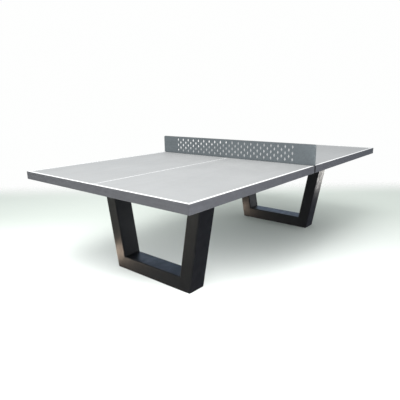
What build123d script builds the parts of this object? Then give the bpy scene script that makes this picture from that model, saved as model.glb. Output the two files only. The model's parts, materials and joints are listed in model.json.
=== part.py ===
from build123d import *
import os
from math import atan2, cos, degrees

# Fixed outdoor table for table tennis, with a perforated steel net and two box-section leg frames.
# The part's frame: X runs along the table, Y across it, Z up from the ground.
# The origin is on the ground, under the middle of the net. Sizes are in millimetres.
# Half "a" lies on the -X side of the net and half "b" on the +X side.
# On each half, "left" is the +Y side and "right" is the -Y side.

# Overall sizes
TABLE_LENGTH = 2740
TABLE_WIDTH = 1525
TABLE_HEIGHT = 760
NET_HEIGHT = 152.5  # above the playing surface
HALF_GAP = 20  # between the two halves, where the net plate stands

# Table halves
APRON_DEPTH = 54
APRON_WIDTH = 30  # of the folded channel, seen from below
APRON_WALL = 3
APRON_BEND = 4  # outside radius of the folds
APRON_CORNER = 1.5  # radius that the ground mitre welds leave
PANEL_THICKNESS = 14
PANEL_CLEARANCE = 0.5
PANEL_EDGE = 0.6
BEARER_WALL = 2
BEARER_RADIUS = 3
BEARER_SPACING = 500  # between the bearers that run along the table

# Leg frames
LEG_SETBACK = 430  # from the table's end to the outer face of the leg frame
LEG_DEPTH = 150  # of the box section, along the table
LEG_FACE = 100  # of the box section, across the table
LEG_WALL = 5
LEG_RADIUS = 10
LEG_TOE_RADIUS = 6  # where a post's outer face meets the ground
LEG_FOOT_HALF = 362  # half the frame's outer width at the ground
LEG_TOP_HALF = 486  # half the frame's outer width at the underside of the table
PLATE_THICKNESS = 8
PLATE_LENGTH = 260
PLATE_WIDTH = 130
PLATE_RADIUS = 8
PLATE_EDGE = 1

# Net plate
NET_THICKNESS = 4
NET_TANG = 48  # hidden between the two halves
NET_NOTCH = 30  # how far the tang stops short of the table's sides
NET_CLEARANCE = 0.5  # under the plate's ends, above the playing surface
NET_CORNER = 13
NET_EDGE = 0.6
HOLE_WIDTH = 17
HOLE_HEIGHT = 33
HOLE_RADIUS = 2.5
HOLE_PITCH = 61
HOLE_ROW_PITCH = 24
HOLE_ROWS = 5
HOLES_IN_LONG_ROW = 20

# Fasteners
BOLT_HEIGHT_RATIO = 0.625  # head height of a hexagon bolt over its thread diameter
NUT_HEIGHT_RATIO = 0.8
LEG_BOLT = 12
LEG_BOLT_REACH = 30  # into the threaded boss
LEG_BOLT_X = 105  # from the middle of the leg frame
LEG_BOLT_Y = 40  # from the middle of the post's top
LEG_WASHER_THICKNESS = 2.5
BOSS_DIAMETER = 20
JOIN_BOLT = 10
JOIN_BOLT_Y = (-650, -360, -110, 110, 360, 650)
JOIN_BOLT_HEIGHT = 22  # above the underside of the apron
JOIN_WASHER_THICKNESS = 2
JOIN_SPACER = 24
SLEEVE_DIAMETER = 16
SCREW_DIAMETER = 5
SCREW_HEAD = 10
SCREW_HEAD_HEIGHT = 3
SCREW_BITE = 9  # into the panel
BUSH_DIAMETER = 22
BUSH_HEIGHT = 30
BUSH_BORE = 10.2  # tapping size of an M12 thread
BUSH_X = 40  # from the middle of the leg frame
BUSH_Y = 240
SLIP = 0.1  # radial clearance of everything that stands in a hole
HOLE_CLEARANCE = 0.75  # radial clearance of a bolt in a drilled plate

# Levels and places that follow from the sizes above
APRON_BOTTOM = TABLE_HEIGHT - APRON_DEPTH
PANEL_BOTTOM = TABLE_HEIGHT - PANEL_THICKNESS
BEARER = PANEL_BOTTOM - APRON_BOTTOM
PLATE_BOTTOM = APRON_BOTTOM - PLATE_THICKNESS
END_X = -TABLE_LENGTH / 2
NET_FACE_X = -HALF_GAP / 2
LEG_X = END_X + LEG_SETBACK + LEG_DEPTH / 2
LEG_SLOPE = (LEG_TOP_HALF - LEG_FOOT_HALF) / APRON_BOTTOM
LEG_RUN = LEG_FACE / cos(atan2(LEG_TOP_HALF - LEG_FOOT_HALF, APRON_BOTTOM))
PLATE_Y = LEG_FOOT_HALF + LEG_SLOPE * PLATE_BOTTOM - LEG_RUN / 2
CROSS_X = (LEG_X - LEG_BOLT_X, LEG_X + LEG_BOLT_X)
BEARER_LINES = {"left": BEARER_SPACING, "middle": 0, "right": -BEARER_SPACING}
OUTER_SPAN = (END_X + APRON_WIDTH, CROSS_X[0] - BEARER / 2)
INNER_SPAN = (CROSS_X[1] + BEARER / 2, NET_FACE_X - APRON_WIDTH)
JOIN_FACE_X = APRON_WIDTH + HALF_GAP / 2  # inner face of each net rail, from the middle
JOIN_LEVEL = APRON_BOTTOM + JOIN_BOLT_HEIGHT

parts = {}


def block(x, y, z):
    """A box between two limits on each axis."""
    middle = [(low + high) / 2 for low, high in (x, y, z)]
    return Pos(*middle) * Box(x[1] - x[0], y[1] - y[0], z[1] - z[0])


def upright(diameter, x, y, z):
    """A round bar along Z, between two levels."""
    return Pos(x, y, (z[0] + z[1]) / 2) * Cylinder(diameter / 2, z[1] - z[0])


def lengthwise(diameter, x, y, z):
    """A round bar along X, between two places."""
    return Pos((x[0] + x[1]) / 2, y, z) * Rot(0, 90, 0) * Cylinder(diameter / 2, x[1] - x[0])


def hexagon(across_flats, height):
    """A hexagonal prism that stands on Z = 0, its edges eased."""
    prism = extrude(RegularPolygon(across_flats / 2, 6, major_radius=False), amount=height)
    return chamfer(prism.faces().sort_by(Axis.Z)[-1].edges(), 0.5)


def group(solids):
    """Several separate solids in one node."""
    return Compound(children=list(solids))


def half_slab(inset, z):
    """The outline of half "a", drawn in by inset on all four sides."""
    side = TABLE_WIDTH / 2 - inset
    return block((END_X + inset, NET_FACE_X - inset), (-side, side), z)


# Table half: apron ----------------------------------------------------------------------------

def apron_ring():
    """Folded channel all the way round half "a": outer web, bottom and a lower inner web."""
    low, wall, width = APRON_BOTTOM, APRON_WALL, APRON_WIDTH
    outer = half_slab(0, (low, TABLE_HEIGHT)) - half_slab(wall, (low, TABLE_HEIGHT))
    bottom = half_slab(0, (low, low + wall)) - half_slab(width, (low, low + wall))
    inner = half_slab(width - wall, (low, PANEL_BOTTOM)) - half_slab(width, (low, PANEL_BOTTOM))
    ring = outer + bottom + inner
    outline = [e for e in ring.edges().filter_by(Axis.Z) if at_outline(e.center())]
    ring = fillet(outline, APRON_CORNER)
    return fillet(ring.edges().group_by(Axis.Z)[0], APRON_BEND)


def at_outline(point):
    """True for a point on one of the four outer corners of half "a"."""
    return abs(abs(point.Y) - TABLE_WIDTH / 2) < 0.01 and (
        abs(point.X - END_X) < 0.01 or abs(point.X - NET_FACE_X) < 0.01
    )


def mitre_zone(first, second):
    """Prism over one side of half "a", cut at 45 degrees at both its ends."""
    reach = APRON_WIDTH
    middle_x = (END_X + NET_FACE_X) / 2

    def inward(corner):
        x, y = corner
        return (x + reach * (1 if x < middle_x else -1), y - reach * (1 if y > 0 else -1))

    outline = make_face(Polyline(first, second, inward(second), inward(first), close=True))
    return extrude(Pos(0, 0, APRON_BOTTOM) * outline, amount=APRON_DEPTH)


def apron_rails():
    """The four mitred rails of half "a", by name."""
    ring = apron_ring()
    side = TABLE_WIDTH / 2
    corners = {
        "end_rail": ((END_X, side), (END_X, -side)),
        "net_rail": ((NET_FACE_X, -side), (NET_FACE_X, side)),
        "left_rail": ((NET_FACE_X, side), (END_X, side)),
        "right_rail": ((END_X, -side), (NET_FACE_X, -side)),
    }
    rails = {name: ring & mitre_zone(*ends) for name, ends in corners.items()}
    bore = JOIN_BOLT + 2 * HOLE_CLEARANCE
    for y in JOIN_BOLT_Y:
        rails["net_rail"] -= lengthwise(bore, (INNER_SPAN[1] - 1, NET_FACE_X + 1), y, JOIN_LEVEL)
    return rails


# Table half: bearers and panel ----------------------------------------------------------------

def square_tube(length):
    """Square tube along X, centred on the origin."""
    outline = RectangleRounded(BEARER, BEARER, BEARER_RADIUS)
    bore = Rectangle(BEARER - 2 * BEARER_WALL, BEARER - 2 * BEARER_WALL)
    return extrude(Plane.YZ * (outline - bore), amount=length / 2, both=True)


def screw_places(span):
    """Two places along a bearer, a quarter of its length from each end."""
    quarter = (span[1] - span[0]) / 4
    return (span[0] + quarter, span[1] - quarter)


def long_bearer(span, y):
    """Tube along the table, drilled for the screws that hold the panel."""
    level = APRON_BOTTOM + BEARER / 2
    tube = Pos((span[0] + span[1]) / 2, y, level) * square_tube(span[1] - span[0])
    for x in screw_places(span):
        tube -= upright(SCREW_DIAMETER + 2 * SLIP, x, y, (APRON_BOTTOM - 1, PANEL_BOTTOM + 1))
    return tube


def cross_bearer(x):
    """Tube across the table above a leg frame, drilled for the bosses of the leg bolts."""
    length = TABLE_WIDTH - 2 * APRON_WIDTH
    tube = Pos(x, 0, APRON_BOTTOM + BEARER / 2) * Rot(0, 0, 90) * square_tube(length)
    for y in leg_bolt_rows():
        drill = (APRON_BOTTOM - 1, APRON_BOTTOM + BEARER_WALL + 1)
        tube -= upright(BOSS_DIAMETER + 2 * SLIP, x, y, drill)
    return tube


def leg_bolt_rows():
    """Y of each row of leg bolts: one each side of both posts."""
    return [side * PLATE_Y + step for side in (-1, 1) for step in (-LEG_BOLT_Y, LEG_BOLT_Y)]


def playing_panel():
    """Board between the outer webs, carried by the inner webs and the bearers."""
    board = half_slab(APRON_WALL + PANEL_CLEARANCE, (PANEL_BOTTOM, TABLE_HEIGHT))
    board = chamfer(board.faces().sort_by(Axis.Z)[-1].edges(), PANEL_EDGE)
    for x, y in screw_grid():
        pilot = (PANEL_BOTTOM - 1, PANEL_BOTTOM + SCREW_BITE + 1)
        board -= upright(SCREW_DIAMETER + 2 * SLIP, x, y, pilot)
    return board


def screw_grid():
    """Places of all the panel screws of half "a"."""
    return [
        (x, y)
        for y in BEARER_LINES.values()
        for span in (OUTER_SPAN, INNER_SPAN)
        for x in screw_places(span)
    ]


def panel_screw(x, y):
    """Pan-head screw, driven upwards through a bearer into the panel."""
    shank = upright(SCREW_DIAMETER, x, y, (APRON_BOTTOM, PANEL_BOTTOM + SCREW_BITE))
    head = upright(SCREW_HEAD, x, y, (APRON_BOTTOM - SCREW_HEAD_HEIGHT, APRON_BOTTOM))
    head = fillet(head.faces().sort_by(Axis.Z)[0].edges(), SCREW_HEAD_HEIGHT / 2)
    return head + shank


# Leg frame ------------------------------------------------------------------------------------

def leg_profile(top, wall):
    """Face of the leg frame in the YZ plane, drawn in by wall: two leaning posts and a beam."""
    inner_run = LEG_RUN * (1 - 2 * wall / LEG_FACE)
    shift = LEG_RUN * wall / LEG_FACE

    def outside(z):
        return LEG_FOOT_HALF + LEG_SLOPE * z - shift

    beam_top = LEG_FACE - wall
    right = [(outside(wall), wall), (outside(top), top), (outside(top) - inner_run, top)]
    right.append((outside(beam_top) - inner_run, beam_top))
    left = [(-y, z) for y, z in reversed(right)]
    return Plane.YZ * make_face(Polyline(*right, *left, close=True))


def leg_frame():
    """Hollow box-section frame, centred on X = 0, before it is cut at its mitres."""
    shell = extrude(leg_profile(PLATE_BOTTOM, 0), amount=LEG_DEPTH / 2, both=True)
    toes = [
        e
        for e in shell.edges().filter_by(Axis.X)
        if e.center().Z < 1 and abs(abs(e.center().Y) - LEG_FOOT_HALF) < 1
    ]
    shell = fillet(toes, LEG_TOE_RADIUS)
    faces = shell.faces().filter_by(Axis.X)
    rims = [e for face in faces for e in face.edges() if e.center().Z < PLATE_BOTTOM - 1]
    shell = fillet(rims, LEG_RADIUS)
    bore = extrude(leg_profile(PLATE_BOTTOM + 1, LEG_WALL), amount=LEG_DEPTH / 2 - LEG_WALL, both=True)
    return shell - bore


def leg_members():
    """The two posts and the foot beam of the leg frame of half "a", by name."""
    whole = leg_frame()
    inner_corner = LEG_FOOT_HALF + LEG_SLOPE * LEG_FACE - LEG_RUN
    lean = LEG_FOOT_HALF - inner_corner
    members = {}
    for name, side in (("left", 1), ("right", -1)):
        mitre = Plane((0, side * LEG_FOOT_HALF, 0), z_dir=(0, side * LEG_FACE, lean))
        members[f"leg_post_{name}"] = split(whole, bisect_by=mitre, keep=Keep.TOP)
        whole = split(whole, bisect_by=mitre, keep=Keep.BOTTOM)
    for x, y in bush_places():
        drill = (-1, LEG_WALL + 1)
        whole -= upright(BUSH_DIAMETER + 2 * SLIP, x, y, drill)
    members["foot_beam"] = whole
    return {name: Pos(LEG_X, 0, 0) * member for name, member in members.items()}


def bush_places():
    """Places of the ground bushes, from the middle of the leg frame."""
    return [(x, y) for x in (-BUSH_X, BUSH_X) for y in (-BUSH_Y, BUSH_Y)]


def ground_bush(x, y):
    """Threaded bush in the bottom of the foot beam, for an anchor stud or a levelling foot."""
    bush = upright(BUSH_DIAMETER, LEG_X + x, y, (0, BUSH_HEIGHT))
    return bush - upright(BUSH_BORE, LEG_X + x, y, (-1, BUSH_HEIGHT + 1))


def leg_plate(side):
    """Plate on top of a post, drilled for the four bolts that hold it to the bearers."""
    outline = RectangleRounded(PLATE_LENGTH, PLATE_WIDTH, PLATE_RADIUS)
    plate = extrude(outline, amount=PLATE_THICKNESS)
    plate = chamfer(plate.faces().sort_by(Axis.Z)[0].edges(), PLATE_EDGE)
    plate = Pos(LEG_X, side * PLATE_Y, PLATE_BOTTOM) * plate
    for x in CROSS_X:
        for step in (-LEG_BOLT_Y, LEG_BOLT_Y):
            bore = LEG_BOLT + 2 * HOLE_CLEARANCE
            drill = (PLATE_BOTTOM - 1, APRON_BOTTOM + 1)
            plate -= upright(bore, x, side * PLATE_Y + step, drill)
    return plate


# Fasteners ------------------------------------------------------------------------------------

def leg_bolt(x, y):
    """Hexagon bolt that points up, from under the plate into the boss."""
    height = LEG_BOLT * BOLT_HEIGHT_RATIO
    seat = PLATE_BOTTOM - LEG_WASHER_THICKNESS
    head = Pos(x, y, seat) * Rot(180, 0, 0) * hexagon(18, height)
    return head + upright(LEG_BOLT, x, y, (seat, APRON_BOTTOM + LEG_BOLT_REACH))


def leg_washer(x, y):
    """Flat washer under the head of a leg bolt."""
    span = (PLATE_BOTTOM - LEG_WASHER_THICKNESS, PLATE_BOTTOM)
    return upright(2 * LEG_BOLT, x, y, span) - upright(LEG_BOLT + 2 * SLIP, x, y, span)


def leg_boss(x, y):
    """Threaded boss welded inside a cross bearer."""
    span = (APRON_BOTTOM, PANEL_BOTTOM - BEARER_WALL)
    return upright(BOSS_DIAMETER, x, y, span) - upright(LEG_BOLT + 2 * SLIP, x, y, span)


def join_bolt(y):
    """Hexagon bolt right through both net rails and the net plate."""
    height = JOIN_BOLT * BOLT_HEIGHT_RATIO
    seat = JOIN_FACE_X + JOIN_WASHER_THICKNESS
    tip = seat + JOIN_BOLT * NUT_HEIGHT_RATIO + 4
    head = Pos(-seat, y, JOIN_LEVEL) * Rot(0, -90, 0) * hexagon(16, height)
    return head + lengthwise(JOIN_BOLT, (-seat, tip), y, JOIN_LEVEL)


def join_nut(y):
    """Nut on the far end of a joining bolt."""
    seat = JOIN_FACE_X + JOIN_WASHER_THICKNESS
    nut = Pos(seat, y, JOIN_LEVEL) * Rot(0, 90, 0) * hexagon(16, JOIN_BOLT * NUT_HEIGHT_RATIO)
    return nut - lengthwise(JOIN_BOLT + 2 * SLIP, (seat - 1, seat + JOIN_BOLT), y, JOIN_LEVEL)


def ring_on_bolt(diameter, x, y):
    """Washer, spacer or sleeve on a joining bolt."""
    ring = lengthwise(diameter, x, y, JOIN_LEVEL)
    return ring - lengthwise(JOIN_BOLT + 2 * SLIP, x, y, JOIN_LEVEL)


def both_sides(diameter, x):
    """The same ring on every joining bolt, on both sides of the net plate."""
    mirrored = (-x[1], -x[0])
    return group(ring_on_bolt(diameter, span, y) for y in JOIN_BOLT_Y for span in (x, mirrored))


# Net plate ------------------------------------------------------------------------------------

def net_hole():
    """Upright rhombus with rounded corners, in the YZ plane."""
    width, height = HOLE_WIDTH / 2, HOLE_HEIGHT / 2
    outline = Polyline((width, 0), (0, height), (-width, 0), (0, -height), close=True)
    rhombus = make_face(outline)
    return fillet(rhombus.vertices(), HOLE_RADIUS)


def net_holes():
    """Prisms for the whole pattern: long and short rows by turns, half a pitch apart."""
    middle = TABLE_HEIGHT + NET_HEIGHT / 2
    cutter = extrude(Plane.YZ * net_hole(), amount=NET_THICKNESS, both=True)
    for row in range(HOLE_ROWS):
        count = HOLES_IN_LONG_ROW - row % 2
        level = middle + (row - (HOLE_ROWS - 1) / 2) * HOLE_ROW_PITCH
        for place in range(count):
            yield Pos(0, (place - (count - 1) / 2) * HOLE_PITCH, level) * cutter


def net_plate():
    """Perforated plate that stands between the halves, with a narrower tang hidden there."""
    low, high = TABLE_HEIGHT - NET_TANG, TABLE_HEIGHT + NET_HEIGHT
    plate = block((-NET_THICKNESS / 2, NET_THICKNESS / 2), (-TABLE_WIDTH / 2, TABLE_WIDTH / 2), (low, high))
    top_corners = plate.edges().filter_by(Axis.X).group_by(Axis.Z)[-1]
    plate = fillet(top_corners, NET_CORNER)
    for side in (-1, 1):
        ends = sorted((side * (TABLE_WIDTH / 2 - NET_NOTCH), side * TABLE_WIDTH))
        plate -= block((-NET_THICKNESS, NET_THICKNESS), ends, (low - 1, TABLE_HEIGHT + NET_CLEARANCE))
    rims = [e for face in plate.faces().filter_by(Axis.X) for e in face.edges()]
    plate = chamfer(rims, NET_EDGE)
    plate -= list(net_holes())
    for y in JOIN_BOLT_Y:
        bore = JOIN_BOLT + 2 * HOLE_CLEARANCE
        plate -= lengthwise(bore, (-NET_THICKNESS, NET_THICKNESS), y, JOIN_LEVEL)
    return plate


# Assembly -------------------------------------------------------------------------------------

def half_parts():
    """Every node of half "a"."""
    bolts = [(x, y) for x in CROSS_X for y in leg_bolt_rows()]
    half = {"playing_panel": playing_panel(), **apron_rails(), **leg_members()}
    half["cross_bearer_outer"] = cross_bearer(CROSS_X[0])
    half["cross_bearer_inner"] = cross_bearer(CROSS_X[1])
    for name, y in BEARER_LINES.items():
        half[f"long_bearer_outer_{name}"] = long_bearer(OUTER_SPAN, y)
        half[f"long_bearer_inner_{name}"] = long_bearer(INNER_SPAN, y)
    half["leg_plate_left"] = leg_plate(1)
    half["leg_plate_right"] = leg_plate(-1)
    half["ground_bushes"] = group(ground_bush(x, y) for x, y in bush_places())
    half["panel_screws"] = group(panel_screw(x, y) for x, y in screw_grid())
    half["leg_bolts"] = group(leg_bolt(x, y) for x, y in bolts)
    half["leg_washers"] = group(leg_washer(x, y) for x, y in bolts)
    half["leg_bosses"] = group(leg_boss(x, y) for x, y in bolts)
    return half


for name, solid in half_parts().items():
    parts[f"{name}_a"] = solid
    parts[f"{name}_b"] = mirror(solid, about=Plane.YZ)

washer_span = (JOIN_FACE_X, JOIN_FACE_X + JOIN_WASHER_THICKNESS)
sleeve_span = (NET_FACE_X + HALF_GAP + APRON_WALL, JOIN_FACE_X - APRON_WALL)
parts["net_plate"] = net_plate()
parts["join_bolts"] = group(join_bolt(y) for y in JOIN_BOLT_Y)
parts["join_nuts"] = group(join_nut(y) for y in JOIN_BOLT_Y)
parts["join_washers"] = both_sides(2 * JOIN_BOLT, washer_span)
parts["join_sleeves"] = both_sides(SLEEVE_DIAMETER, sleeve_span)
parts["net_spacers"] = both_sides(JOIN_SPACER, (NET_THICKNESS / 2, HALF_GAP / 2))

os.makedirs("parts", exist_ok=True)
for name, solid in parts.items():
    export_step(solid, f"parts/{name}.step")
print(len(parts), "nodes; posts lean", round(degrees(atan2(LEG_SLOPE, 1)), 1), "degrees")
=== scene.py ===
import json
import math
import random

import bmesh
import bpy
from mathutils import Matrix, Vector


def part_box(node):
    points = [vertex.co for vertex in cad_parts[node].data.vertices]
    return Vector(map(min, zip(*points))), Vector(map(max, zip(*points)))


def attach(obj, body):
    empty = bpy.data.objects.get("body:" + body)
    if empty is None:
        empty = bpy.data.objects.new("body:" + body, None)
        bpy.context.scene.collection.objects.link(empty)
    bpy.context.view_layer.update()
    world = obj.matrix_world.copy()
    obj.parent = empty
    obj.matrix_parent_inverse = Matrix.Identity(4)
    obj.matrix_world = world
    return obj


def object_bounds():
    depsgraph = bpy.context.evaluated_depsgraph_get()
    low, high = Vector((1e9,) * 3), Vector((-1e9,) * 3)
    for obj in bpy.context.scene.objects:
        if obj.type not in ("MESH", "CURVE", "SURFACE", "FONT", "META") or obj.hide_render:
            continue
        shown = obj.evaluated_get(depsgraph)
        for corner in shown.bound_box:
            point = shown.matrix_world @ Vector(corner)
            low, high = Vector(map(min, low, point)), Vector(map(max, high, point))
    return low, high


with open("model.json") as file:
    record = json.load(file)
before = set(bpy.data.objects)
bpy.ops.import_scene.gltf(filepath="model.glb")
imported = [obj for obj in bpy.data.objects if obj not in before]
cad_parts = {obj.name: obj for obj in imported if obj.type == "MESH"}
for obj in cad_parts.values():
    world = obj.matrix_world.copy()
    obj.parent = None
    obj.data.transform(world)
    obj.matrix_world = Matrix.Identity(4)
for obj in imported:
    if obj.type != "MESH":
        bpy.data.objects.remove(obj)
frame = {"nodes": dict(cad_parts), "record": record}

# Outdoor table for table tennis. X runs along the table, Y across it, Z up; sizes are in metres.
CAD_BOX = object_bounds()
BODY = "root"
NODES = frame["nodes"]
HALVES = ("a", "b")


# Camera -----------------------------------------------------------------------------------------

CAMERA_PLACE = (-2.628, -1.886, 1.205)
CAMERA_YAW = 40.1  # from +X towards +Y, in degrees
CAMERA_PITCH = -14.1
CAMERA_ROLL = -0.8
CAMERA_LENS = 34.5  # mm, on a 36 mm sensor


def add_camera():
    """Three-quarter view from beside one end, a little above the playing surface."""
    data = bpy.data.cameras.new("camera")
    data.lens = CAMERA_LENS
    data.clip_end = 100
    yaw, pitch, roll = (math.radians(angle) for angle in (CAMERA_YAW, CAMERA_PITCH, CAMERA_ROLL))
    ahead = Vector((math.cos(pitch) * math.cos(yaw), math.cos(pitch) * math.sin(yaw), math.sin(pitch)))
    level = ahead.cross(Vector((0, 0, 1))).normalized()
    upright = level.cross(ahead)
    right = level * math.cos(roll) + upright * math.sin(roll)
    up = right.cross(ahead)
    camera = bpy.data.objects.new("camera", data)
    camera.rotation_mode = "QUATERNION"
    camera.rotation_quaternion = Matrix((right, up, -ahead)).transposed().to_quaternion()
    camera.location = CAMERA_PLACE
    bpy.context.scene.collection.objects.link(camera)
    bpy.context.scene.camera = camera


# Shader helper ----------------------------------------------------------------------------------

def wire(links, value, socket):
    """Links an output to a socket, or sets the socket's value."""
    if isinstance(value, bpy.types.NodeSocket):
        links.new(value, socket)
    else:
        socket.default_value = value


def mix_colours(nodes, links, amount, first, second):
    """Mixes two colours, each a constant or an output."""
    node = nodes.new("ShaderNodeMix")
    node.data_type = "RGBA"
    sockets = [socket for socket in node.inputs if socket.enabled]
    for socket, value in zip(sockets, (amount, first, second)):
        wire(links, value, socket)
    return next(socket for socket in node.outputs if socket.enabled)


class Paint:
    """Adds nodes to one material and wires them to its shader."""

    def __init__(self, name):
        self.material = bpy.data.materials.new(name)
        self.material.use_nodes = True
        self.nodes = self.material.node_tree.nodes
        self.links = self.material.node_tree.links
        self.shader = self.nodes["Principled BSDF"]
        self.place = self.nodes.new("ShaderNodeTexCoord").outputs["Object"]

    def wire(self, value, socket):
        wire(self.links, value, socket)

    def stretch(self, scale):
        """Object coordinates, scaled by a different amount along each axis."""
        node = self.nodes.new("ShaderNodeMapping")
        node.inputs["Scale"].default_value = scale
        self.wire(self.place, node.inputs["Vector"])
        return node.outputs["Vector"]

    def noise(self, scale, detail=3.0, rough=0.55, place=None):
        """Cloudy noise from 0 to 1; scale is in features per metre."""
        node = self.nodes.new("ShaderNodeTexNoise")
        node.inputs["Scale"].default_value = scale
        node.inputs["Detail"].default_value = detail
        node.inputs["Roughness"].default_value = rough
        self.wire(place or self.place, node.inputs["Vector"])
        return node.outputs["Fac"]

    def cells(self, scale):
        """Distance to the nearest of many scattered points."""
        node = self.nodes.new("ShaderNodeTexVoronoi")
        node.inputs["Scale"].default_value = scale
        self.wire(self.place, node.inputs["Vector"])
        return node.outputs["Distance"]

    def spread(self, value, low, high, start=0.0, end=1.0):
        """Maps value from low..high to start..end, held at the ends."""
        node = self.nodes.new("ShaderNodeMapRange")
        node.interpolation_type = "SMOOTHSTEP"
        for socket, number in zip(node.inputs[:5], (value, low, high, start, end)):
            self.wire(number, socket)
        return node.outputs["Result"]

    def maths(self, operation, first, second):
        node = self.nodes.new("ShaderNodeMath")
        node.operation = operation
        self.wire(first, node.inputs[0])
        self.wire(second, node.inputs[1])
        return node.outputs["Value"]

    def axis(self, name):
        """One of the object coordinates."""
        node = self.nodes.new("ShaderNodeSeparateXYZ")
        self.wire(self.place, node.inputs["Vector"])
        return node.outputs[name]

    def blend(self, amount, first, second):
        return mix_colours(self.nodes, self.links, amount, first, second)

    def bump(self, height, distance, strength=1.0, below=None):
        """Surface relief; distance is its depth in metres."""
        node = self.nodes.new("ShaderNodeBump")
        node.inputs["Strength"].default_value = strength
        node.inputs["Distance"].default_value = distance
        self.wire(height, node.inputs["Height"])
        if below:
            self.wire(below, node.inputs["Normal"])
        return node.outputs["Normal"]

    def finish(self, colour, roughness, normal, metallic=0.0, specular=0.5):
        """Wires the results to the shader and returns the material."""
        self.wire(colour, self.shader.inputs["Base Color"])
        self.wire(roughness, self.shader.inputs["Roughness"])
        self.wire(normal, self.shader.inputs["Normal"])
        self.shader.inputs["Metallic"].default_value = metallic
        self.shader.inputs["Specular IOR Level"].default_value = specular
        return self.material


def grey(value, tint=(1.0, 1.0, 1.0)):
    """A near-grey colour with full alpha."""
    return (value * tint[0], value * tint[1], value * tint[2], 1.0)


def darker(colour, factor):
    """The same colour, scaled."""
    return (colour[0] * factor, colour[1] * factor, colour[2] * factor, 1.0)


# Materials --------------------------------------------------------------------------------------

# Colours
BOARD = grey(0.334, (0.985, 0.998, 1.0))
BALL_MARK = grey(0.2)
LINE_WHITE = grey(0.86)
LINE_WORN = grey(0.66)
APRON_GREY = grey(0.107, (0.98, 0.98, 1.06))
APRON_WORN = grey(0.15)
LEG_BLACK = grey(0.0078, (0.98, 0.99, 1.04))
LEG_WORN = grey(0.015)
BEARER_GREY = grey(0.05)
NET_GREY = grey(0.142, (0.90, 1.02, 1.07))
NET_WORN = grey(0.19)
ZINC = grey(0.62, (0.99, 1.0, 1.01))
ZINC_DULL = grey(0.42)
DUST = (0.075, 0.07, 0.062, 1.0)
# painted shade for the faces in the gap between the two halves
SEAM_SHADE = grey(0.012)
FLOOR_FRONT = grey(0.92, (0.97, 1.0, 0.975))
FLOOR_BACK = grey(0.66, (0.93, 1.0, 0.935))
FLOOR_CLOUD = grey(0.5)

# Distances from an edge, in metres: where its wear starts, and where it is full
APRON_WEAR = (0.004, 0.0005)
POST_WEAR = (0.009, 0.003)
NET_TOP_WEAR = (0.005, 0.0005)
NET_END_WEAR = (0.004, 0.0005)

SEAM_SHADE_REACH = (0.0002, 0.0012)  # out from the gap's faces: where its painted shade is full, and where it ends
DUST_TOP = 0.035  # how far up the legs dust reaches


def playing_surface():
    """Textured grey laminate: faint clouds, darker lengthwise streaks painted as a reflection of the
    surroundings, fine grain, ball marks and scuffs.
    """
    paint = Paint("playing_surface")
    base = BOARD
    clouds = paint.spread(paint.noise(2.6, 4.0), 0.3, 0.7)
    colour = paint.blend(clouds, darker(base, 0.955), darker(base, 1.035))
    # painted reflection: darker streaks along the table that stand in for reflected surroundings
    streaks = paint.noise(9.0, 3.0, 0.6, paint.stretch((0.12, 1.0, 1.0)))
    colour = paint.blend(paint.spread(streaks, 0.42, 0.72, 0.0, 0.4), colour, darker(base, 0.89))
    pebble = paint.noise(260.0, 4.0, 0.65)
    colour = paint.blend(paint.spread(pebble, 0.38, 0.66, 0.0, 0.3), colour, darker(base, 1.12))
    grain = paint.noise(820.0, 2.0)
    colour = paint.blend(paint.spread(grain, 0.35, 0.75, 0.0, 0.3), colour, darker(base, 0.82))
    scuffs = paint.noise(34.0, 5.0, 0.7, paint.stretch((0.35, 1.0, 1.0)))
    marks = paint.maths("MULTIPLY", paint.spread(scuffs, 0.62, 0.78), clouds)
    colour = paint.blend(paint.maths("MULTIPLY", marks, 0.3), colour, darker(base, 1.12))
    touches = paint.spread(paint.cells(7.0), 0.02, 0.06, 1.0, 0.0)
    chosen = paint.spread(paint.noise(5.0, 2.0), 0.5, 0.62)
    ball_marks = paint.maths("MULTIPLY", paint.maths("MULTIPLY", touches, chosen), 0.12)
    colour = paint.blend(ball_marks, colour, BALL_MARK)
    rough = paint.spread(paint.noise(14.0, 4.0), 0.3, 0.7, 0.42, 0.56)
    relief = paint.bump(pebble, 0.0003, 0.5, below=paint.bump(grain, 0.00018, 0.6))
    return paint.finish(colour, rough, relief)


def line_paint():
    """White marking paint with a rolled texture and thin worn spots."""
    paint = Paint("line_paint")
    worn = paint.noise(55.0, 5.0, 0.7)
    colour = paint.blend(paint.spread(worn, 0.58, 0.82, 0.0, 0.35), LINE_WHITE, LINE_WORN)
    rolled = paint.noise(420.0, 2.0)
    rough = paint.spread(rolled, 0.3, 0.7, 0.35, 0.5)
    return paint.finish(colour, rough, paint.bump(rolled, 0.00015, 0.6))


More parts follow.
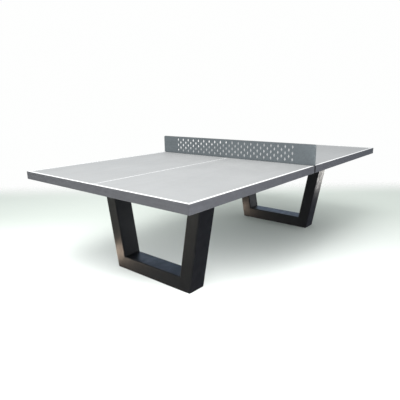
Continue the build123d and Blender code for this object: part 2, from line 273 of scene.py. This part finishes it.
def powder_coat(
    name, base, rough_low, rough_high, specular=0.5, wear=None, worn=None, shaded_seam=None, dust_top=0.0
):
    """Baked powder paint: orange-peel relief, streaks and clouds, worn edges, dust near the ground, and
    painted shade in the gap between the halves.

    wear is a function that returns where the paint is worn; the seam function returns where painted shade
    darkens the faces in the gap between the two halves.
    """
    paint = Paint(name)
    clouds = paint.spread(paint.noise(3.2, 4.0), 0.3, 0.7)
    colour = paint.blend(clouds, darker(base, 0.9), darker(base, 1.08))
    streaks = paint.noise(7.0, 4.0, 0.62, paint.stretch((1.0, 1.0, 13.0)))
    colour = paint.blend(paint.spread(streaks, 0.36, 0.66, 0.0, 0.65), colour, darker(base, 0.8))
    mottle = paint.noise(75.0, 4.0, 0.6)
    colour = paint.blend(paint.spread(mottle, 0.35, 0.65, 0.0, 0.4), colour, darker(base, 1.22))
    speckle = paint.noise(1400.0, 1.0)
    colour = paint.blend(paint.spread(speckle, 0.5, 0.8, 0.0, 0.35), colour, darker(base, 1.5))
    rubbed = paint.noise(26.0, 6.0, 0.72)
    rubbing = paint.spread(rubbed, 0.66, 0.8, 0.0, 0.35)
    colour = paint.blend(rubbing, colour, darker(base, 1.6))
    rough = paint.spread(paint.noise(18.0, 5.0, 0.6), 0.3, 0.7, rough_low, rough_high)
    if wear:
        edges = paint.maths("MULTIPLY", wear(paint), paint.spread(rubbed, 0.4, 0.62, 0.25, 1.0))
        colour = paint.blend(edges, colour, worn)
        rough = paint.maths("ADD", rough, paint.maths("MULTIPLY", edges, 0.12))
    if dust_top:
        low = paint.spread(paint.axis("Z"), 0.0, dust_top, 1.0, 0.0)
        patchy = paint.spread(paint.noise(22.0, 5.0, 0.65), 0.38, 0.66)
        dust = paint.maths("MULTIPLY", paint.maths("MULTIPLY", low, patchy), 0.22)
        colour = paint.blend(dust, colour, DUST)
        rough = paint.maths("ADD", rough, paint.maths("MULTIPLY", dust, 0.5))
    scratches = paint.spread(paint.noise(16.0, 2.0, 0.5, paint.stretch((1.0, 1.0, 60.0))), 0.7, 0.74)
    colour = paint.blend(paint.maths("MULTIPLY", scratches, 0.5), colour, darker(base, 1.5))
    # painted shade: darkens the faces in the gap between the two halves
    if shaded_seam:
        seam_darkening = paint.maths("MULTIPLY", shaded_seam(paint), paint.spread(mottle, 0.2, 0.6, 0.75, 1.0))
        colour = paint.blend(seam_darkening, colour, SEAM_SHADE)
    peel = paint.bump(paint.noise(330.0, 2.0, 0.5), 0.0005, 0.6)
    return paint.finish(colour, rough, peel, specular=specular)


def off_middle(paint, value, middle, near, far):
    """0 where value is within near of middle, 1 from far onwards; middle may vary over the surface."""
    offset = paint.maths("ABSOLUTE", paint.maths("SUBTRACT", value, middle), 0.0)
    return paint.spread(offset, near, far)


def apron_edges(paint):
    """The apron's top and bottom edges."""
    low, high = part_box("end_rail_a")
    half = (high.z - low.z) / 2
    start, full = APRON_WEAR
    return off_middle(paint, paint.axis("Z"), (low.z + high.z) / 2, half - start, half - full)


def seam_painted_shade(paint):
    """Painted shade on the faces in the gap between the two halves, which the light hardly reaches."""
    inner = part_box("net_rail_b")[0].x
    full, end = SEAM_SHADE_REACH
    from_net = paint.maths("ABSOLUTE", paint.axis("X"), 0.0)
    return paint.spread(from_net, inner + full, inner + end, 1.0, 0.0)


def post_edges(paint):
    """The four long edges of each leaning post."""
    low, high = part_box("leg_post_left_b")
    start, full = POST_WEAR
    half_depth = (high.x - low.x) / 2
    from_net = paint.maths("ABSOLUTE", paint.axis("X"), 0.0)
    front = off_middle(paint, from_net, low.x + half_depth, half_depth - start, half_depth - full)
    lean = paint.maths("MULTIPLY", paint.axis("Z"), LEG_SLOPE)
    middle = paint.maths("ADD", lean, high.y - high.z * LEG_SLOPE - LEG_RUN / 2)
    from_middle = paint.maths("ABSOLUTE", paint.axis("Y"), 0.0)
    side = off_middle(paint, from_middle, middle, LEG_RUN / 2 - start, LEG_RUN / 2 - full)
    return paint.maths("MULTIPLY", front, side)


def net_edges(paint):
    """The net plate's top edge and its two upright ends."""
    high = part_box("net_plate")[1]
    start, full = NET_TOP_WEAR
    top = paint.spread(paint.axis("Z"), high.z - start, high.z - full)
    start, full = NET_END_WEAR
    ends = paint.spread(paint.maths("ABSOLUTE", paint.axis("Y"), 0.0), high.y - start, high.y - full)
    return paint.maths("MAXIMUM", top, ends)


def zinc_plate():
    """Bright zinc plating with faint crystals and dull spots."""
    paint = Paint("zinc")
    crystals = paint.cells(260.0)
    colour = paint.blend(paint.spread(crystals, 0.0, 0.9), darker(ZINC, 0.82), darker(ZINC, 1.05))
    dull = paint.spread(paint.noise(60.0, 4.0, 0.65), 0.5, 0.72)
    colour = paint.blend(paint.maths("MULTIPLY", dull, 0.5), colour, ZINC_DULL)
    rough = paint.spread(dull, 0.0, 1.0, 0.32, 0.6)
    return paint.finish(colour, rough, paint.bump(crystals, 0.00012, 0.4), metallic=1.0)


FLOOR_PLAIN = 3.8  # how far the floor reaches from the table's middle before it melts into the sky
FLOOR_FADE = 2.0  # and over what distance it melts
FLOOR_FAR = (1.7, 2.7)  # where it starts and ends to melt, straight behind the table
FLOOR_AHEAD = (0.765, 0.644, 0.0)  # level direction in which the camera looks
FLOOR_TURN = 1.1  # how far before and behind the table's middle the floor's colour turns


def floor_material():
    """Plain pale floor, white near the front and faintly green behind, which fades out around the table.

    It is clear from below, so that the table's underside can be seen.
    """
    paint = Paint("floor")
    ahead = paint.nodes.new("ShaderNodeVectorMath")
    ahead.operation = "DOT_PRODUCT"
    paint.wire(paint.place, ahead.inputs[0])
    ahead.inputs[1].default_value = FLOOR_AHEAD
    distance = ahead.outputs["Value"]
    pale = paint.blend(paint.spread(distance, -FLOOR_TURN, FLOOR_TURN), FLOOR_FRONT, FLOOR_BACK)
    clouds = paint.spread(paint.noise(1.5, 2.0), 0.3, 0.7, 0.0, 0.03)
    colour = paint.blend(clouds, pale, FLOOR_CLOUD)
    paint.finish(colour, 0.8, paint.bump(paint.noise(40.0), 0.0005, 0.1), specular=0.1)
    reach = paint.nodes.new("ShaderNodeVectorMath")
    reach.operation = "LENGTH"
    paint.wire(paint.place, reach.inputs[0])
    around = paint.spread(reach.outputs["Value"], FLOOR_PLAIN, FLOOR_PLAIN + FLOOR_FADE)
    behind = paint.spread(distance, *FLOOR_FAR)
    mixer = paint.nodes.new("ShaderNodeMixShader")
    clear = paint.nodes.new("ShaderNodeBsdfTransparent")
    below = paint.nodes.new("ShaderNodeNewGeometry").outputs["Backfacing"]
    hidden = paint.maths("MAXIMUM", paint.maths("MAXIMUM", around, behind), below)
    paint.wire(hidden, mixer.inputs[0])
    paint.links.new(paint.shader.outputs[0], mixer.inputs[1])
    paint.links.new(clear.outputs[0], mixer.inputs[2])
    paint.links.new(mixer.outputs[0], paint.nodes["Material Output"].inputs["Surface"])
    return paint.material


LEG_FACE = 0.100  # width of the legs' box section
LEG_RADIUS = 0.010  # of its rounded edges
LEG_SLOPE = 0.124 / 0.706  # how far the posts lean outwards for their height
LEG_RUN = LEG_FACE * math.hypot(1.0, LEG_SLOPE)  # level width of a leaning post

MATERIALS = {
    "playing_surface": playing_surface(),
    "apron_paint": powder_coat(
        # painted shade on the faces in the gap between the halves
        "apron_paint", APRON_GREY, 0.42, 0.56, wear=apron_edges, worn=APRON_WORN, shaded_seam=seam_painted_shade
    ),
    "leg_paint": powder_coat(
        "leg_paint",
        LEG_BLACK,
        0.38,
        0.5,
        specular=0.35,
        wear=post_edges,
        worn=LEG_WORN,
        dust_top=DUST_TOP,
    ),
    "bearer_paint": powder_coat("bearer_paint", BEARER_GREY, 0.5, 0.66),
    "net_paint": powder_coat("net_paint", NET_GREY, 0.4, 0.54, wear=net_edges, worn=NET_WORN),
    "zinc": zinc_plate(),
}
LINE_PAINT = line_paint()


def dress_cad_nodes():
    """Gives every carried-over CAD node the material of its slot."""
    slots = {row["node"]: row["material_slot"] for row in frame["record"]["subparts"]}
    for name, node in NODES.items():
        node.data.materials.clear()
        node.data.materials.append(MATERIALS[slots[name]])


# Pieces made here -------------------------------------------------------------------------------

def add_piece(name, mesh, material, slot):
    """Links a mesh as a piece that rides on the table."""
    mesh.materials.append(material)
    piece = bpy.data.objects.new(name, mesh)
    bpy.context.scene.collection.objects.link(piece)
    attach(piece, BODY)


LINE_WIDTH = 0.015
CENTRE_LINE_WIDTH = 0.005
LINE_THICKNESS = 0.00025
LINE_EASE = 0.6  # width of the paint's eased edges, as a share of its thickness
LINE_INSET = 0.0007  # keeps the paint on the flat, inside the board's eased edge


def strip_mesh(name, low, high):
    """Thin painted strip with eased top edges, between two corners."""
    mesh = bpy.data.meshes.new(name)
    solid = bmesh.new()
    bmesh.ops.create_cube(solid, size=1.0)
    for vertex in solid.verts:
        for axis in range(3):
            vertex.co[axis] = high[axis] if vertex.co[axis] > 0 else low[axis]
    top = [edge for edge in solid.edges if all(v.co.z > (low[2] + high[2]) / 2 for v in edge.verts)]
    bmesh.ops.bevel(solid, geom=top, offset=LINE_THICKNESS * LINE_EASE, segments=2, affect="EDGES")
    solid.to_mesh(mesh)
    solid.free()
    return mesh


def add_lines():
    """Side, end and centre lines on both halves."""
    for half in HALVES:
        low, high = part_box(f"playing_panel_{half}")
        z = (high.z, high.z + LINE_THICKNESS)
        x = (low.x + LINE_INSET, high.x - LINE_INSET)
        y = (low.y + LINE_INSET, high.y - LINE_INSET)
        end_x = (x[0], x[0] + LINE_WIDTH) if half == "a" else (x[1] - LINE_WIDTH, x[1])
        side_x = (end_x[1], x[1]) if half == "a" else (x[0], end_x[0])
        centre = CENTRE_LINE_WIDTH / 2
        strips = {
            "end_line": (end_x, y),
            "left_line": (side_x, (y[1] - LINE_WIDTH, y[1])),
            "right_line": (side_x, (y[0], y[0] + LINE_WIDTH)),
            "centre_line": (side_x, (-centre, centre)),
        }
        for name, (across_x, across_y) in strips.items():
            corners = ((across_x[0], across_y[0], z[0]), (across_x[1], across_y[1], z[1]))
            mesh = strip_mesh(f"{name}_{half}", *corners)
            add_piece(f"{name}_{half}", mesh, LINE_PAINT, "line_paint")


LEG_WELD = 0.0036  # radius of a weld bead
BEARER_WELD = 0.0028
BEARER_WELD_BARE = (0.004, 0.005)  # lengths left bare at the foot and the top of a bearer's side
WELD_RIPPLE = 0.005  # length of one ripple of a weld bead
WELD_RIPPLE_DEPTH = 0.1  # as a share of the radius
WELD_UNEVEN = 0.03  # how far the radius strays at random, as a share of it
WELD_TIP = 0.45  # radius of a bead's very ends, as a share of its radius
WELD_TAPER = 4  # cross sections over which an end grows to full radius
WELD_STEP = 0.00125  # between cross sections
CORNER_STEPS = 5  # straight pieces in a rounded corner of a bead's line
WELD_SIDES = 8
STEEP = 0.7  # upward part of a unit direction, above which it counts as upright


def rounded_loop(low, high, radius, z):
    """Points of a level rectangle with rounded corners, in order."""
    points = []
    for turn, (x, y) in enumerate(
        (
            (high[0] - radius, high[1] - radius),
            (low[0] + radius, high[1] - radius),
            (low[0] + radius, low[1] + radius),
            (high[0] - radius, low[1] + radius),
        )
    ):
        for step in range(CORNER_STEPS + 1):
            angle = (turn + step / CORNER_STEPS) * math.pi / 2
            points.append(Vector((x + radius * math.cos(angle), y + radius * math.sin(angle), z)))
    return points


def resample(points, step, closed):
    """Evenly spaced points along a polyline."""
    corners = points + points[:1] if closed else points
    lengths = [(b - a).length for a, b in zip(corners, corners[1:])]
    total = sum(lengths)
    count = max(2, round(total / step))
    result = []
    for number in range(count if closed else count + 1):
        rest, piece = total * number / count, 0
        while piece < len(lengths) - 1 and rest > lengths[piece]:
            rest -= lengths[piece]
            piece += 1
        result.append(corners[piece].lerp(corners[piece + 1], min(1.0, rest / lengths[piece])))
    return result


def add_bead(solid, points, radius, chance, closed):
    """One rippled weld bead along a line, a closed shell in the mesh."""
    line = resample(points, WELD_STEP, closed)
    last = len(line) - 1
    rings = []
    for number, centre in enumerate(line):
        before = line[number - 1] if closed or number else centre
        after = line[(number + 1) % len(line)] if closed or number < last else centre
        along = (after - before).normalized()
        across = along.orthogonal() if abs(along.z) > STEEP else along.cross(Vector((0, 0, 1)))
        across.normalize()
        other = along.cross(across)
        ripple = math.cos(2 * math.pi * number * WELD_STEP / WELD_RIPPLE)
        size = radius * (1 - WELD_RIPPLE_DEPTH + WELD_RIPPLE_DEPTH * ripple)
        size *= chance.uniform(1 - WELD_UNEVEN, 1 + WELD_UNEVEN)
        if not closed:
            size *= min(1.0, WELD_TIP + min(number, last - number) / WELD_TAPER)
        angles = [2 * math.pi * side / WELD_SIDES for side in range(WELD_SIDES)]
        rings.append(
            [solid.verts.new(centre + size * (math.cos(a) * across + math.sin(a) * other)) for a in angles]
        )
    pairs = list(zip(rings, rings[1:])) + ([(rings[-1], rings[0])] if closed else [])
    for first, second in pairs:
        for side in range(WELD_SIDES):
            following = (side + 1) % WELD_SIDES
            solid.faces.new((first[side], first[following], second[following], second[side]))
    if not closed:
        solid.faces.new(list(reversed(rings[0])))
        solid.faces.new(rings[-1])


def weld_mesh(name, beads, radius):
    """A mesh of weld beads, each given as its line and whether it closes on itself."""
    chance = random.Random(name)
    solid = bmesh.new()
    for points, closed in beads:
        add_bead(solid, points, radius, chance, closed)
    bmesh.ops.recalc_face_normals(solid, faces=solid.faces)
    for face in solid.faces:
        face.smooth = len(face.verts) == 4
    mesh = bpy.data.meshes.new(name)
    solid.to_mesh(mesh)
    solid.free()
    return mesh


def bearer_beads(half):
    """Upright beads on both sides of each end of every bearer."""
    bare_foot, bare_top = BEARER_WELD_BARE
    names = [name for name in NODES if "bearer" in name and name.endswith(f"_{half}")]
    for name in names:
        low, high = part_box(name)
        run = 0 if name.startswith("long") else 1
        ends, sides = (low[run], high[run]), (low[1 - run], high[1 - run])
        for end in ends:
            for side in sides:
                place = (end, side) if run == 0 else (side, end)
                foot, top = low.z + bare_foot, high.z - bare_top
                yield [Vector((*place, foot)), Vector((*place, top))], False


def leg_beads(half):
    """A bead round the top of each post, under its plate, and one in each inner corner of the frame."""
    beam_low, beam_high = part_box(f"foot_beam_{half}")
    for name, side in (("left", 1), ("right", -1)):
        low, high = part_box(f"leg_post_{name}_{half}")
        outer = max(abs(low.y), abs(high.y))
        y = sorted((side * outer, side * (outer - LEG_RUN)))
        yield rounded_loop((low.x, y[0]), (high.x, y[1]), LEG_RADIUS, high.z), True
        corner = side * (outer - LEG_RUN - (high.z - beam_high.z) * LEG_SLOPE)
        x = (beam_low.x + LEG_RADIUS, beam_high.x - LEG_RADIUS)
        yield [Vector((x[0], corner, beam_high.z)), Vector((x[1], corner, beam_high.z))], False


def add_welds():
    """Weld beads of both leg frames and of the bearers."""
    for half in HALVES:
        for name, beads, radius, slot in (
            ("bearer_welds", bearer_beads(half), BEARER_WELD, "bearer_paint"),
            ("leg_welds", leg_beads(half), LEG_WELD, "leg_paint"),
        ):
            mesh = weld_mesh(f"{name}_{half}", beads, radius)
            add_piece(f"{name}_{half}", mesh, MATERIALS[slot], slot)


# Stage and light --------------------------------------------------------------------------------

FLOOR_SIZE = 12.0


def add_floor():
    """Plain pale floor under the table."""
    mesh = bpy.data.meshes.new("floor")
    solid = bmesh.new()
    bmesh.ops.create_grid(solid, x_segments=1, y_segments=1, size=FLOOR_SIZE / 2)
    solid.to_mesh(mesh)
    solid.free()
    mesh.materials.append(floor_material())
    floor = bpy.data.objects.new("floor", mesh)
    floor.location.z = CAD_BOX[0].z
    floor.visible_glossy = False
    bpy.context.scene.collection.objects.link(floor)


def add_area_light(name, place, target, size, power, colour=(1.0, 1.0, 1.0), spread=None):
    """Soft rectangular light that looks at a target and isn't seen itself; spread is in degrees."""
    data = bpy.data.lights.new(name, "AREA")
    data.shape = "RECTANGLE"
    data.size, data.size_y = size
    data.energy = power
    data.color = colour
    if spread:
        data.spread = math.radians(spread)
    light = bpy.data.objects.new(name, data)
    light.location = place
    aim = Vector(target) - Vector(place)
    light.rotation_mode = "QUATERNION"
    light.rotation_quaternion = aim.to_track_quat("-Z", "Y")
    light.visible_camera = False
    bpy.context.scene.collection.objects.link(light)
    return light


SKY_CEILING = (1.02, 1.03, 1.02, 1.0)  # lights the table from above
SKY_LEFT = (0.40, 0.47, 0.54, 1.0)  # and from its left side
SKY_RIGHT = (0.17, 0.22, 0.29, 1.0)
GROUND_LEFT = (0.36, 0.36, 0.34, 1.0)  # shows in glossy paint that faces the ground
GROUND_RIGHT = (0.17, 0.18, 0.23, 1.0)
SKY_SEEN = (0.99, 0.995, 0.99, 1.0)  # what the camera sees behind the table


def add_world():
    """Studio with dim walls and a bright ceiling, which the camera sees as plain near-white."""
    world = bpy.data.worlds.new("sky")
    world.use_nodes = True
    nodes, links = world.node_tree.nodes, world.node_tree.links
    direction = nodes.new("ShaderNodeSeparateXYZ")
    links.new(nodes.new("ShaderNodeTexCoord").outputs["Generated"], direction.inputs["Vector"])

    def rise(axis, low, high):
        step = nodes.new("ShaderNodeMapRange")
        step.interpolation_type = "SMOOTHSTEP"
        step.inputs["From Min"].default_value = low
        step.inputs["From Max"].default_value = high
        links.new(direction.outputs[axis], step.inputs["Value"])
        return step.outputs["Result"]

    def mix(amount, first, second):
        return mix_colours(nodes, links, amount, first, second)

    leftness = rise("Y", -0.1, 0.8)
    ground = mix(leftness, GROUND_RIGHT, GROUND_LEFT)
    walls = mix(leftness, SKY_RIGHT, SKY_LEFT)
    low_studio = mix(rise("Z", -0.12, 0.0), ground, walls)
    studio = mix(rise("Z", 0.0, 0.75), low_studio, SKY_CEILING)
    seen = nodes.new("ShaderNodeLightPath").outputs["Is Camera Ray"]
    links.new(mix(seen, studio, SKY_SEEN), nodes["Background"].inputs["Color"])
    bpy.context.scene.world = world


def link_light(light, names, shadows=True):
    """Limits a light to some of the pieces, which alone cast its shadows when shadows is off."""
    receivers = bpy.data.collections.new(f"{light.name}_receivers")
    for name in names:
        receivers.objects.link(bpy.data.objects[name])
    light.light_linking.receiver_collection = receivers
    if not shadows:
        light.light_linking.blocker_collection = receivers


def add_lights():
    """Large soft key above the near end, a fill from the right, faint lights on the floor and legs."""
    add_world()
    add_area_light(
        "key_light",
        place=(-2.3, -0.8, 4.3),
        target=(-0.8, 0.2, 0.7),
        size=(3.2, 3.2),
        power=90.0,
        spread=110,
    )
    floor_light = add_area_light(
        "floor_light", place=(-2.3, 0.3, 1.2), target=(-1.9, 0.2, 0.0), size=(1.6, 1.6), power=14.0
    )
    link_light(floor_light, ["floor"], shadows=False)
    near_floor = add_area_light(
        "near_floor_light",
        place=(-1.5, -1.1, 0.8),
        target=(-1.15, -0.75, 0.0),
        size=(0.8, 0.8),
        power=8.0,
        spread=90,
    )
    link_light(near_floor, ["floor"], shadows=False)
    side_light = add_area_light(
        "side_light",
        place=(-1.2, -3.2, 1.3),
        target=(0.0, -0.76, 0.75),
        size=(3.0, 1.0),
        power=28.0,
        colour=(0.95, 0.97, 1.06),
    )
    link_light(side_light, ["right_rail_a", "right_rail_b", "net_plate"])
    front_light = add_area_light(
        "front_light",
        place=(-2.1, 0.65, 0.25),
        target=(-0.95, 0.0, 0.6),
        size=(1.6, 0.5),
        power=2.6,
        colour=(1.0, 0.97, 0.82),
    )
    link_light(front_light, ["leg_post_left_a", "leg_post_right_a"])
    for half, glow_power in (("a", 1.2), ("b", 0.9)):
        add_leg_lights(half, glow_power)
    add_shine_light()


def add_leg_lights(half, glow_power):
    """Warm light by the left toe as if from sunlit ground, blue on the beam, white inside the left post."""
    beam_low, beam_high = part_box(f"foot_beam_{half}")
    toe = Vector((beam_low.x, beam_high.y, beam_low.z))
    glow = add_area_light(
        f"glow_light_{half}",
        place=toe + Vector((-0.19, 0.17, 0.02)),
        target=toe + Vector((0.0, -0.1, 0.08)),
        size=(0.34, 0.1),
        power=glow_power,
        colour=(1.0, 0.78, 0.6),
    )
    link_light(glow, [f"leg_post_left_{half}", f"foot_beam_{half}", f"leg_post_right_{half}"])

    middle = (beam_low + beam_high) / 2
    blue = add_area_light(
        f"blue_light_{half}",
        place=middle + Vector((0.9, 0.68, 0.4)),
        target=middle,
        size=(1.2, 0.6),
        power=1.4,
        colour=(0.26, 0.52, 1.0),
    )
    link_light(blue, [f"foot_beam_{half}"])

    post_low, post_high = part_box(f"leg_post_left_{half}")
    middle = (post_low + post_high) / 2
    inner = add_area_light(
        f"inner_light_{half}",
        place=middle + Vector((1.2, -0.95, -0.15)),
        target=middle,
        size=(0.8, 0.4),
        power=1.8,
    )
    link_light(inner, [f"leg_post_left_{half}"])


def add_shine_light():
    """A narrow light aimed at the top of the far right post's outer side."""
    low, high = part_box("leg_post_right_b")
    side = Vector((high.x, low.y, low.z))
    shine = add_area_light(
        "shine_light",
        place=side + Vector((1.3, -0.4, 0.08)),
        target=side + Vector((0.0, 0.0, 0.75)),
        size=(0.8, 0.3),
        power=0.8,
        colour=(1.0, 0.97, 0.92),
        spread=50,
    )
    link_light(shine, ["leg_post_right_b"])


dress_cad_nodes()
add_lines()
add_welds()
add_floor()
add_camera()
add_lights()
bpy.context.scene.view_settings.view_transform = "Standard"
